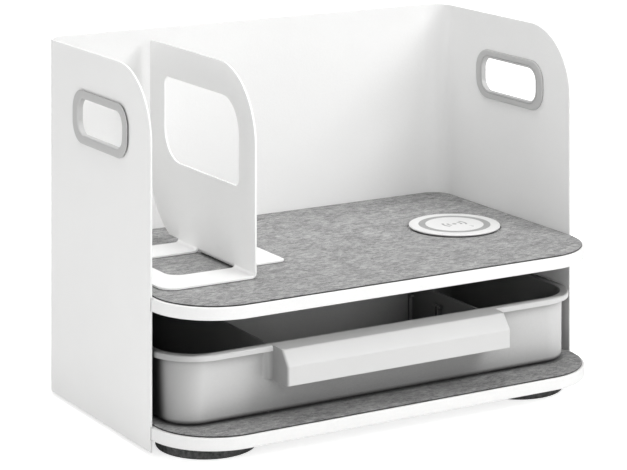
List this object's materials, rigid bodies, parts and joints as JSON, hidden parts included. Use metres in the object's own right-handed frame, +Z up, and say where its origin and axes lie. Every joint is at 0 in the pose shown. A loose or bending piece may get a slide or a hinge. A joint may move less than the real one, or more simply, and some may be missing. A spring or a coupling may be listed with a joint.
{
  "type": "desk hutch",
  "caption": "Desktop hutch: a bent steel shell with hand holes around felt-topped shelves, a pull-out tray, a sliding bookend and a wireless charger.",
  "frame": {"origin": "on the desk, under the middle of the hutch's overall box", "axes": "+X is the right-hand side seen from the front, -Y is the open front, +Z is up"},
  "size_m": [0.4036, 0.256, 0.296],
  "materials": {
    "powder_coat": "fine matt powder coat",
    "shelf_paint": "satin white lacquer",
    "felt": "grey heather felt",
    "grey_plastic": "satin grey moulding",
    "tray_plastic": "fine matt moulded grey",
    "white_plastic": "satin white moulding",
    "ring_plastic": "translucent grey ring",
    "foot_rubber": "matt dark grey rubber",
    "steel": "zinc plated",
    "copper": "enamelled copper wire",
    "ferrite": "sintered ferrite sheet",
    "circuit_board": "green solder mask"
  },
  "bodies": {
    "frame": {"frame_shell": "powder_coat", "grommet_left_outer": "grey_plastic", "grommet_left_inner": "grey_plastic", "grommet_right_outer": "grey_plastic", "grommet_right_inner": "grey_plastic", "cable_outlet": "grey_plastic", "upper_shelf": "shelf_paint", "lower_shelf": "shelf_paint", "upper_felt": "felt", "lower_felt": "felt", "upper_bracket_left": "powder_coat", "upper_bracket_right": "powder_coat", "upper_bracket_back_left": "powder_coat", "upper_bracket_back_right": "powder_coat", "lower_bracket_left": "powder_coat", "lower_bracket_right": "powder_coat", "lower_bracket_back_left": "powder_coat", "lower_bracket_back_right": "powder_coat", "upper_screw_left": "steel", "upper_screw_right": "steel", "upper_screw_back_left": "steel", "upper_screw_back_right": "steel", "lower_screw_left": "steel", "lower_screw_right": "steel", "lower_screw_back_left": "steel", "lower_screw_back_right": "steel", "foot_front_left": "foot_rubber", "foot_front_right": "foot_rubber", "foot_rear_left": "foot_rubber", "foot_rear_right": "foot_rubber", "foot_screw_front_left": "steel", "foot_screw_front_right": "steel", "foot_screw_rear_left": "steel", "foot_screw_rear_right": "steel", "charger_cover": "white_plastic", "charger_ring": "ring_plastic", "charger_coil": "copper", "charger_ferrite": "ferrite", "charger_circuit_board": "circuit_board", "charger_usb_socket": "steel", "charger_base": "white_plastic", "charger_lock_ring": "white_plastic", "charger_screw_1": "steel", "charger_screw_2": "steel", "charger_screw_3": "steel"},
    "tray": {"tray_body": "tray_plastic"},
    "divider": {"tray_divider": "tray_plastic"},
    "bookend": {"bookend": "powder_coat"}
  },
  "joints": [
    {"name": "tray_slide", "type": "slide", "parent": "frame", "child": "tray", "axis": [0, -1, 0], "range_m": [0, 0.2]},
    {"name": "divider_lift", "type": "slide", "parent": "tray", "child": "divider", "axis": [0, 0, 1], "range_m": [0, 0.03]},
    {"name": "bookend_slide", "type": "slide", "parent": "frame", "child": "bookend", "axis": [1, 0, 0], "range_m": [-0.012, 0.14]}
  ]
}
